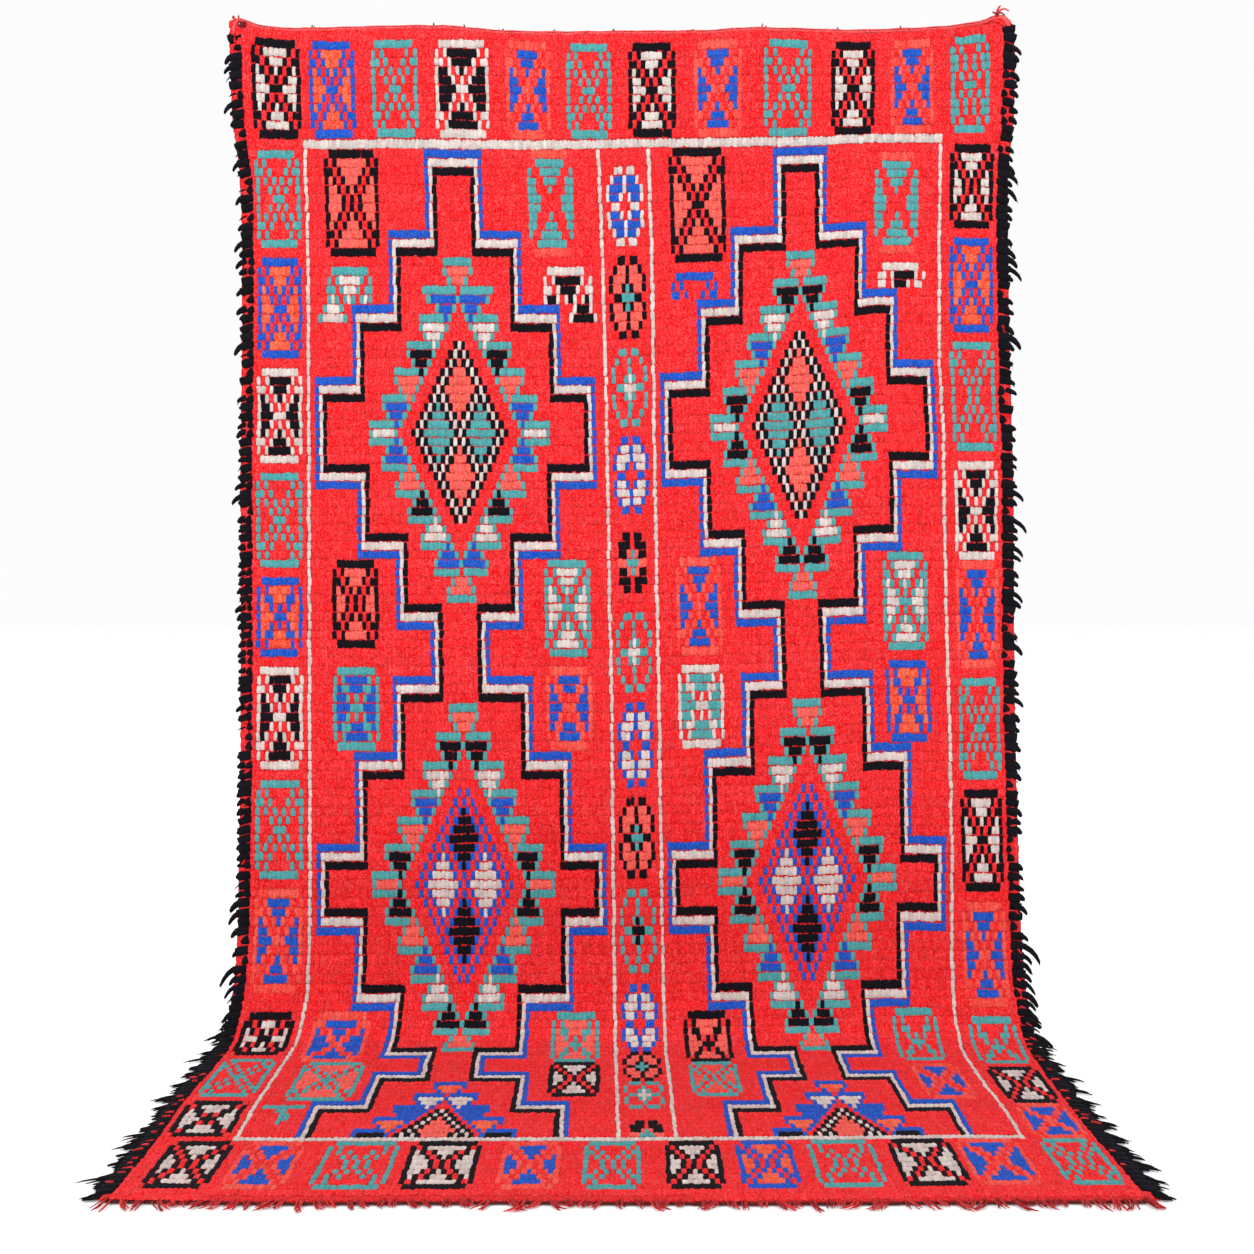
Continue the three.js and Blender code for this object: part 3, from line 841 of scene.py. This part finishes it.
def knot_colours(column, row, yarn):
    """Each knot of a yarn a little lighter, darker or redder than the next, and rows vary too."""
    number = column * 7.31 + row * 131.7
    light = np.where(yarn == WHITE, 0.13, 0.07)
    colours = YARNS[yarn] * (1 + light * uneven(number, 1) + 0.03 * uneven(row, 2))[..., None]
    warm = np.exp(0.32 * uneven(number, 3) + 0.12 * uneven(row, 4))
    pink = 1 - 0.05 * (1 + uneven(number, 5))
    reddish = np.isin(yarn, (RED, ORANGE, FAINT))
    colours[..., 1:] *= np.where(reddish, warm, np.where(yarn == WHITE, pink, 1))[..., None]
    return colours


def pile_band(name, first, last):
    rows, columns = np.meshgrid(np.arange(first, last + 1), np.arange(FIRST_COLUMN, LAST_COLUMN + 1))
    rows, columns = rows.reshape(-1, 1), columns.reshape(-1, 1)
    across, run = on_cloth(columns, rows)
    inside = ((run < LENGTH - 8) & (run > hem_run(across) + 2))[:, 0]
    rows, columns, across, run = (values[inside] for values in (rows, columns, across, run))
    pitch = on_cloth(columns, rows + 0.5)[1] - on_cloth(columns, rows - 0.5)[1]
    # the knot itself, and those to its left, to its right, above and below
    bordered = np.pad(chart, 1, constant_values=RED)
    place, level = columns - FIRST_COLUMN + 1, rows - FIRST_ROW + 1
    yarn = bordered[level, place]
    single = (bordered[level, place - 1] != yarn) & (bordered[level, place + 1] != yarn)
    alone_in_column = (bordered[level - 1, place] != yarn) & (bordered[level + 1, place] != yarn)
    thin_white = (yarn == WHITE) & alone_in_column
    number = columns * 3.17 + rows * 57.9
    across = across + 1.2 * uneven(number, 11) + 0.8 * uneven(rows + columns // 7 * 9.1, 12)
    run = run + 1.1 * uneven(number, 13) + 0.7 * uneven(columns * 5.3, 14)
    long = pitch * np.array(TUFT_LONG)[yarn] * (1 + 0.09 * uneven(number, 15))
    long = np.where(single & (yarn == WHITE), long * 1.15, long)
    on_floor = smooth_step(rows, 97, 102)
    long = long * (1 + on_floor * (0.14 * (yarn == BLACK) + 0.1 * (yarn == BLUE) - 0.28 * thin_white))
    lean = 0.12 * uneven(number, 16)
    wide = TUFT_HALF_WIDE * (1 + 0.12 * uneven(number, 17))
    wide = np.where(single, wide * np.array(SINGLE_WIDE)[yarn], wide)
    lift = 0.35 * uneven(number, 18)
    along = long * TUFT_ALONG
    sway = 0.9 * uneven(number, 19) * [-1, 0.5, 0, -0.6, 1]
    path = on_rug(across + lean * along + sway, run + along, TUFT_UP + lift * [0, 0.5, 1, 1, 0.7])
    path[..., 1] = np.maximum(path[..., 1], hem_run(path[..., 0]) + 0.2 * along + 3)
    widths = wide * TUFT_WIDTHS
    widths[:, 1:4] *= 1 + 0.12 * uneven(number, np.arange(111, 114))
    # the front rows keep less of the painted shade at their ends
    front_rows_less_shade = 0.7 * smooth_step(rows, 134, 137)[..., None]
    colours = knot_colours(columns, rows, yarn) * (TUFT_PAINTED_SHADE[:, None] * (1 - front_rows_less_shade) + front_rows_less_shade)
    return strands(name, path, widths, TUFT_HIGH, 4, PILE, colours, TUFT_PAINTED_SIDE_SHADE, TUFT_PRESS)


ground = ground_cloth()
pile = [
    pile_band("pile_top", FIRST_ROW, 25),
    pile_band("pile_upper", 26, 63),
    pile_band("pile_lower", 64, 101),
    pile_band("pile_front", 102, LAST_ROW),
]


# The hem rolled over the top edge, and its rounded ends over the selvedges

HEM_WIDE = 4.4
HEM_HIGH = 5.0
HEM_UP = 6.0
FOLD_SHADE_UP = 10.6
CORNER_STITCH_UP = 10.2
# from and to across, run
CORNER_STITCHES = [((762, -6), (763, 10)), ((789, -18), (802, -10)), ((804, -12), (813, -3))]


def top_hem():
    across = np.concatenate([np.linspace(-835, 760, 150), np.linspace(768, 802, 6)])
    left_end = [(-846, 7), (-847, 3), (-847, -6), (-844.5, -13), (-840, -19)]
    right_end = [(810, -27), (816, -22), (820, -15), (821, -9), (821, -6)]
    across, run = np.array([*left_end, *zip(across, hem_run(across)), *right_end]).T
    number = np.arange(len(across))
    run = run + (0.5 * np.sin(number * 0.9) + 0.4 * uneven(number, 21))
    wide = HEM_WIDE + 0.3 * uneven(number, 22) + 2.2 * smooth_step(across, 790, 818)
    high = HEM_HIGH + 0.3 * uneven(number, 23)
    colours = HEM_RED * (1 + 0.06 * uneven(number, 24))[:, None]
    return strands("top_hem", on_rug(across, run, HEM_UP)[None], wide, high, 10, PILE, colours, 0.9)


def hem_fold_shade_and_stitches():
    """Thin dark red strands: a line along the fold of the hem, painted shade in the fold, and a few
    stitches at its right end.
    """
    across = np.linspace(-838, 800, 41)[:, None]
    along = np.linspace(0, 1, 8)
    # the line along the fold is painted shade in the crease of the hem
    fold_shade_line = across[:-1] + (across[1:] - across[:-1] + 6) * along
    starts, ends = np.swapaxes(CORNER_STITCHES, 0, 1)[:, :, None]
    corner = starts + (ends - starts) * along[:, None]
    path = np.concatenate([
        on_rug(fold_shade_line, hem_run(fold_shade_line) - 0.6, FOLD_SHADE_UP),
        on_rug(corner[..., 0], corner[..., 1], CORNER_STITCH_UP),
    ])
    number = np.arange(len(path))[:, None] * 8 + np.arange(8)
    path[..., 1] += 0.5 * uneven(number, 25)
    wide = [0, 0.8, 0.9, 0.8, 0.9, 0.8, 0.8, 0]
    colours = DARK_RED * (1 + 0.15 * uneven(number, 26))[..., None]
    return strands("hem_fold_shade_and_stitches", path, wide, wide, 5, THREAD, colours)


def shoulder_pile():
    """Red tufts under the hem's ends, over the tops of the selvedges."""
    columns = np.array([-92.6, -91.6, -91, -92.4, -91.4, -92, -91, 90.8, 91.5, 92])[:, None]
    rows = np.array([-12.3, -12.5, -11.8, -11.5, -11.2, -10.9, -10.6, -12.3, -12.4, -12.2])[:, None]
    across, run = on_cloth(columns, rows)
    run = np.where(across < 0, run + 4, run - 2)
    along = 19 * TUFT_ALONG
    sway = 0.3 * uneven(np.arange(len(rows))[:, None], 31) * along
    path = on_rug(across + sway, run + along, TUFT_UP + 1)
    # the same painted shade along each tuft as in the pile
    wide, colours = 6.4 * TUFT_WIDTHS, YARNS[RED] * TUFT_PAINTED_SHADE[:, None]
    return strands("shoulder_pile", path, wide, TUFT_HIGH, 4, PILE, colours, TUFT_PAINTED_SIDE_SHADE, TUFT_PRESS)


def corner_threads():
    """Dark thread worked over the left end of the hem."""
    number = np.arange(7)[:, None]
    t = np.linspace(0, 1, 6)
    across = -838 + 3 * uneven(number, 33) + (19 + 4 * uneven(number, 34)) * t
    run = 1.5 * number - 15 + 2.5 * uneven(number, 35) * np.sin(t * 4)
    path = on_rug(across, run, 11.0 + np.sin(t * math.pi))
    wide = [0, 1.1, 1.3, 1.3, 1.0, 0]
    colours = toned(dyed(104, 30, 50), 1 + 0.4 * uneven(number, 36))
    return strands("corner_threads", path, wide, wide, 5, THREAD, colours)


hem = [top_hem(), hem_fold_shade_and_stitches(), shoulder_pile(), corner_threads()]


# The selvedges: a red binding, wrapped in black wool that ends in loose locks

SELVEDGE_WIDE = 26
FIRST_LOCK, LAST_LOCK = {-1: -11, 1: -12}, 136
BINDING_UP = 3.2
BINDING_END = LENGTH - 9
# how far in from the edge of the binding the locks are rooted
LOCK_ROOT = 12
LOCK_CLUSTERS, LOCKS_A_CLUSTER = 19, 11


def selvedge_run(side, row):
    run = straight_curve(ROW_RUN, row - (straight_curve(RIGHT_RISE, row) if side > 0 else 0))
    return cloth_run(run, side * side_edge(side, run))


def beside(side, out, run):
    return side * (side_edge(side, run) + out)


def selvedge_binding(side, name):
    run = np.append(np.arange(0, BINDING_END, 6.5), BINDING_END)
    run[0] = cloth_run(4.0, side * 830.0)
    number = np.arange(len(run))
    outer = SELVEDGE_WIDE + 1.2 * uneven(number, 41 + side)
    path = on_rug(beside(side, outer / 2 - 2, run), run, BINDING_UP)[None]
    colours = YARNS[RED] * (0.95 + 0.12 * uneven(number, 43))[:, None]
    return strands(name, path, outer / 2 + 2, 2.6, 8, BINDING, colours, 0.85)


def wrapped_tufts(side, name):
    """Black wool wrapped round the binding at each row, bare red on its outer half in places."""
    row = np.arange(FIRST_LOCK[side], LAST_LOCK + 1)[:, None]
    run = selvedge_run(side, row) + 1.8 * uneven(row, 51 + side)
    between = (row < 95) & (row > (-12 if side < 0 else -9))
    bare = (uneven(row * 1.7, 53 + side) > (0.35 if side < 0 else 0.5)) & between
    start = -1.5 + (2.2 if side < 0 else 3.4) * uneven(row, 54 + side)
    reach = np.where(bare, 13 + 4 * uneven(row, 55), SELVEDGE_WIDE + 1.5 + 2.5 * uneven(row, 56 + side))
    share = np.array([0, 0.06, 0.35, 0.65, 0.94, 1.0])
    slope = 4 * uneven(row, 57 + side) + (7 if side < 0 else 5)
    out = start + (reach - start) * share
    along = run + slope * (share**1.5 - 0.3)
    path = on_rug(beside(side, out, along), along, [5.5, 6, 6.4, 6.4, 6, 4.6])
    blunt, wedge = [0, 0.94, 1.0, 0.98, 0.9, 0], [0, 1.0, 0.95, 0.75, 0.4, 0]
    wide = (9.8 + 0.9 * uneven(row, 58 + side)) * np.where(bare, wedge, blunt)
    wide[:, 1:5] *= 1 + 0.13 * uneven(row, np.arange(158, 162))
    colours = toned(YARNS[BLACK], 1 + 0.25 * uneven(row, 59))
    return strands(name, path, wide, [0, 3.4, 4.2, 4.2, 3.4, 0], 8, LOCKS, colours, 0.9)


def lock_strands(side, name, run, reach, drop, thick, lifted, number, blunt):
    """Black strands out of the selvedge, given where each starts, how far it reaches out and drops."""
    t = np.array([0, 0.05, 0.25, 0.5, 0.72, 0.9, 1.0])
    out = SELVEDGE_WIDE - LOCK_ROOT + (reach + LOCK_ROOT) * (1 - (1 - t) ** 1.4)
    along = run + drop * t**1.8
    curl = 1.8 * uneven(number, 71) * np.sin(t * 5)
    path = on_rug(beside(side, out, along), along + curl, 5.6 - 1.4 * t + lifted * t)
    wide = thick * np.where(blunt, [0, 0.9, 1.0, 0.88, 0.7, 0.5, 0], [0, 0.9, 1.0, 0.8, 0.6, 0.3, 0])
    high = np.minimum(wide * 0.7, 2.4)
    colours = toned(YARNS[BLACK], 1 + 0.3 * uneven(number, 77))
    return strands(name, path, wide, high, 5, LOCKS, colours, 0.9)


def hanging_locks(side, name):
    """Thick curled ends that droop beside the hanging rug, with a few thin wisps."""
    every = np.arange(FIRST_LOCK[side], 104)
    thick_rows = every[uneven(every, 61 + side) > -0.4]
    row = np.concatenate([thick_rows, every[uneven(every, 62) > (0.4 if side < 0 else 0.0)]])
    wisp = np.arange(len(row)) >= len(thick_rows)
    number = row * 17.3 + wisp * 5.1
    run = selvedge_run(side, row) + 3.0 * uneven(number, 63 + side) - 1
    kept = run < BEND_END - 60
    row, wisp, number, run = (values[kept][:, None] for values in (row, wisp, number, run))
    long = np.maximum(0, uneven(row * 2.3, 64 + side) + 0.5 * uneven(row // 3, 79) - 0.1)
    own = 1 + 0.25 * uneven(number, 65 + side) + 0.9 * smooth_step(run, BEND_START - 100, BEND_START + 150)
    reach, drop = (4 + 13 * long, 9 + 15 * long) if side < 0 else (7 + 15 * long, 11 + 17 * long)
    reach, drop, lifted = own * reach, own * drop, 2 * uneven(number, 73)
    thick = np.where(wisp, 2.4, 6.9) * (1 + 0.2 * uneven(number, 75))
    return lock_strands(side, name, run, reach, drop, thick, lifted, number, ~wisp)


def floor_locks(side, name):
    """Clusters of loose ends lying on the floor, each drawn together towards its tip."""
    cluster, strand = np.divmod(np.arange(LOCK_CLUSTERS * LOCKS_A_CLUSTER)[:, None], LOCKS_A_CLUSTER)
    strand = strand - LOCKS_A_CLUSTER // 2
    number = cluster * 17.3 + strand * 5.1
    middle = BEND_END - 145 + 42 * cluster + 15 * uneven(cluster, 61 + side)
    run = np.minimum(middle + 4.3 * strand + 2.5 * uneven(number, 67), LENGTH - 12 - 2 * (strand % 3))
    lying = smooth_step(run, BEND_END - 170, BEND_END + 60)
    fan = 1 - np.abs(strand) / 6
    reach = (8 + (19 + 12 * uneven(cluster, 63 + side)) * fan) * (0.95 + 0.5 * uneven(number, 65 + side))
    drop = (1 - lying) * 14 + lying * (0.3 * reach + 3) + 5 * uneven(number, 66) - strand
    thick = 3.0 + 0.9 * uneven(number, 75)
    return lock_strands(side, name, run, reach, drop, thick, -1.6 * lying, number, uneven(number, 76) > 0)


def red_slivers(side, name):
    """Red of the binding that shows between the black turns, low on the rug."""
    row = np.arange(48, LAST_LOCK)
    row = row[uneven(row * 3.1, 68 + side) > 0.25][:, None]
    number = np.arange(len(row))[:, None]
    run = (selvedge_run(side, row) + selvedge_run(side, row + 1)) / 2
    share = np.array([0, 0.1, 0.4, 0.7, 0.9, 1.0])
    out = 5 + 9 * uneven(number, 69 + side) + (13 + 5 * uneven(number, 78)) * share
    along = run + (5 + 6 * uneven(number, 70)) * (share - 0.3)
    path = on_rug(beside(side, out, along), along, 9.6)
    wide = (2.4 + 0.9 * uneven(number, 72)) * [0, 1, 1.1, 0.9, 0.6, 0]
    colours = toned(YARNS[RED], 0.82 + 0.12 * uneven(number, 74))
    return strands(name, path, wide, wide * 0.8, 5, BINDING, colours, 0.9)


selvedges = []
for side, side_name in ((-1, "left"), (1, "right")):
    binding = selvedge_binding(side, f"selvedge_binding_{side_name}")
    tufts = wrapped_tufts(side, f"wrapped_tufts_{side_name}")
    hanging = hanging_locks(side, f"hanging_locks_{side_name}")
    lying = floor_locks(side, f"floor_locks_{side_name}")
    slivers = red_slivers(side, f"red_slivers_{side_name}")
    stretches = ("hanging", "bend_upper", "bend_lower", "floor")
    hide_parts(*[f"selvedge_{side_name}_{stretch}" for stretch in stretches])
    selvedges += [binding, tufts, hanging, lying, slivers]


# The cut ends of the warps along the front

FRONT_HALF_WIDE = 826
WARP_BUNCHES, WARPS_A_BUNCH = 66, 5
# how far in from the front edge the warp ends are rooted
WARP_ROOT = 9


def front_warps():
    strand_count = WARP_BUNCHES * WARPS_A_BUNCH
    bunch, strand = np.divmod(np.arange(strand_count)[:, None], WARPS_A_BUNCH)
    number = bunch * 7.7 + strand * 3.1
    middle = ((bunch + 0.5) / WARP_BUNCHES * 2 - 1) * FRONT_HALF_WIDE + 7 * uneven(bunch, 80)
    across = middle + 2.6 * (strand - WARPS_A_BUNCH // 2) + 1.5 * uneven(number, 81)
    corner = smooth_step(np.abs(middle), 640, 835)
    long = (0.5 + 0.5 * uneven(bunch, 82)) ** 1.3
    reach = 7 + (6 + 20 * long) * (0.7 + 0.4 * uneven(number, 90)) + 13 * corner
    sweep = (24 * uneven(bunch, 83) + 9 * uneven(number, 97)) * (0.4 + long) + 10 * corner * np.sign(middle)
    t = np.array([0, 0.08, 0.25, 0.42, 0.6, 0.78, 0.92, 1.0])
    edge = front_run(across) - 5 * smooth_step(np.abs(across), 815, 840)
    out = -WARP_ROOT + (reach + WARP_ROOT) * np.sin(t * 1.45) / math.sin(1.45)
    curl = 3.2 * uneven(number, 84) * np.sin(t * (4 + 3 * uneven(number, 85)))
    path = on_rug(
        across + sweep * t**1.7 + curl,
        edge + out + 1.5 * np.cos(t * 6 + number),
        5.2 - 3.0 * t + (1.5 + 1.5 * uneven(number, 86)) * np.sin(t * math.pi),
    )
    wide = (1.45 + 0.45 * uneven(number, 87)) * [0, 1, 1, 1, 0.95, 0.85, 0.6, 0]
    tone = 0.5 + 0.5 * uneven(number, 88)
    base = tone * dyed(228, 60, 60) + (1 - tone) * dyed(142, 26, 32)
    colours = toned(base, 1 + 0.15 * uneven(number, 89))
    return strands("front_warps", path, wide, wide, 5, THREAD, colours, 0.85)


def edge_shadow_cord():
    """A dark cord along the front edge, under the warp ends: painted shadow where the rug's edge meets the
    floor.
    """
    across = np.linspace(-FRONT_HALF_WIDE, FRONT_HALF_WIDE, 140)
    number = np.arange(len(across))
    path = on_rug(across, front_run(across) + 2 + 1.2 * uneven(number, 94), 2.7)[None]
    wide = 3.4 + 0.8 * uneven(number, 95)
    # dark brown: painted shadow under the front edge
    colours = dyed(92, 32, 30) * (1 + 0.3 * uneven(number, 96))[:, None]
    return strands("edge_shadow_cord", path, wide, 2.2, 8, THREAD, colours)


CORNER_KNOT = np.array([797.0, -33.0, 6.0])
# the five loose ends of the knot, as places from it: across, run, up
KNOT_ENDS = [
    [(-7, 8, 0), (-4, 4, 2), (0, 0, 2), (1, -9, 1), (5, -17, 2), (8, -18, 2), (8, -16, 1)],
    [(-5, 2, 0), (-3, 1, 4), (2, -2, 4), (8, -10, 3), (17, -12, 3), (25, -7, 4), (27, -6, 4)],
    [(-6, -1, 1), (-4, -1, 2), (0, -1, 4), (6, -3, 5), (11, -1, 5), (16, 3, 6), (17, 3, 6)],
    [(4, 3, 1), (2, 2, 4), (0, 1, 5), (-4, -1, 5), (-8, -3, 5), (-11, -4, 5), (-12, -4, 5)],
    [(-3, 10, 0), (-3, 7, 1), (-2, 3, 2), (0, -2, 2), (2, -6, 3), (3, -9, 3), (3, -10, 3)],
]
KNOT_TONES = [(226, 48, 52), (232, 60, 60), (130, 26, 44), (120, 24, 40), (206, 38, 44)]


def corner_tuft_yarn():
    """The red yarn tied off above the right corner: a knot with loose ends."""
    path = KNOT_ENDS + CORNER_KNOT
    wide = np.outer([1.1, 0.85, 0.75, 0.75, 1.2], [0, 2.6, 2.9, 2.5, 2.1, 1.5, 0])
    colours = np.array([dyed(*tone) for tone in KNOT_TONES])[:, None]
    return strands("corner_tuft_yarn", path, wide, wide, 6, THREAD, colours, 0.85)


# across of the thread ends on the hem: the light one, the dark ones and the red ones
LIGHT_END = [-274]
DARK_ENDS = [-679, -672, -416, -350, -268, -159, -32, -28, 142, 455, 589]
RED_ENDS = [291, 297, -846, -838, -851]
TALLEST_END = 291


def top_threads():
    """Short ends of thread left standing on the hem."""
    across = np.array(LIGHT_END + DARK_ENDS + RED_ENDS)[:, None]
    number = np.arange(len(across))[:, None]
    t = np.array([0, 0.15, 0.5, 0.85, 1.0])
    tall = 5 + 3 * (0.5 + 0.5 * uneven(number, 91)) + 4 * (across == TALLEST_END)
    path = on_rug(
        across + 4 * uneven(number, 92) * t,
        hem_run(across) - 3 - tall * t,
        5.0 + 2 * t * uneven(number, 93),
    )
    wide = [0, 1.8, 1.8, 1.3, 0]
    base = np.where(np.isin(across, DARK_ENDS), dyed(96, 30, 40), dyed(176, 40, 46))
    base[0] = dyed(206, 196, 196)
    return strands("top_threads", path, wide, wide, 6, THREAD, base[:, None], 0.85)


warps = front_warps()
painted_edge_shadow = edge_shadow_cord()
corner_yarn = corner_tuft_yarn()
threads = top_threads()
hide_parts("warp_ends_front")
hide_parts("corner_tassel")
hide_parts("rug")
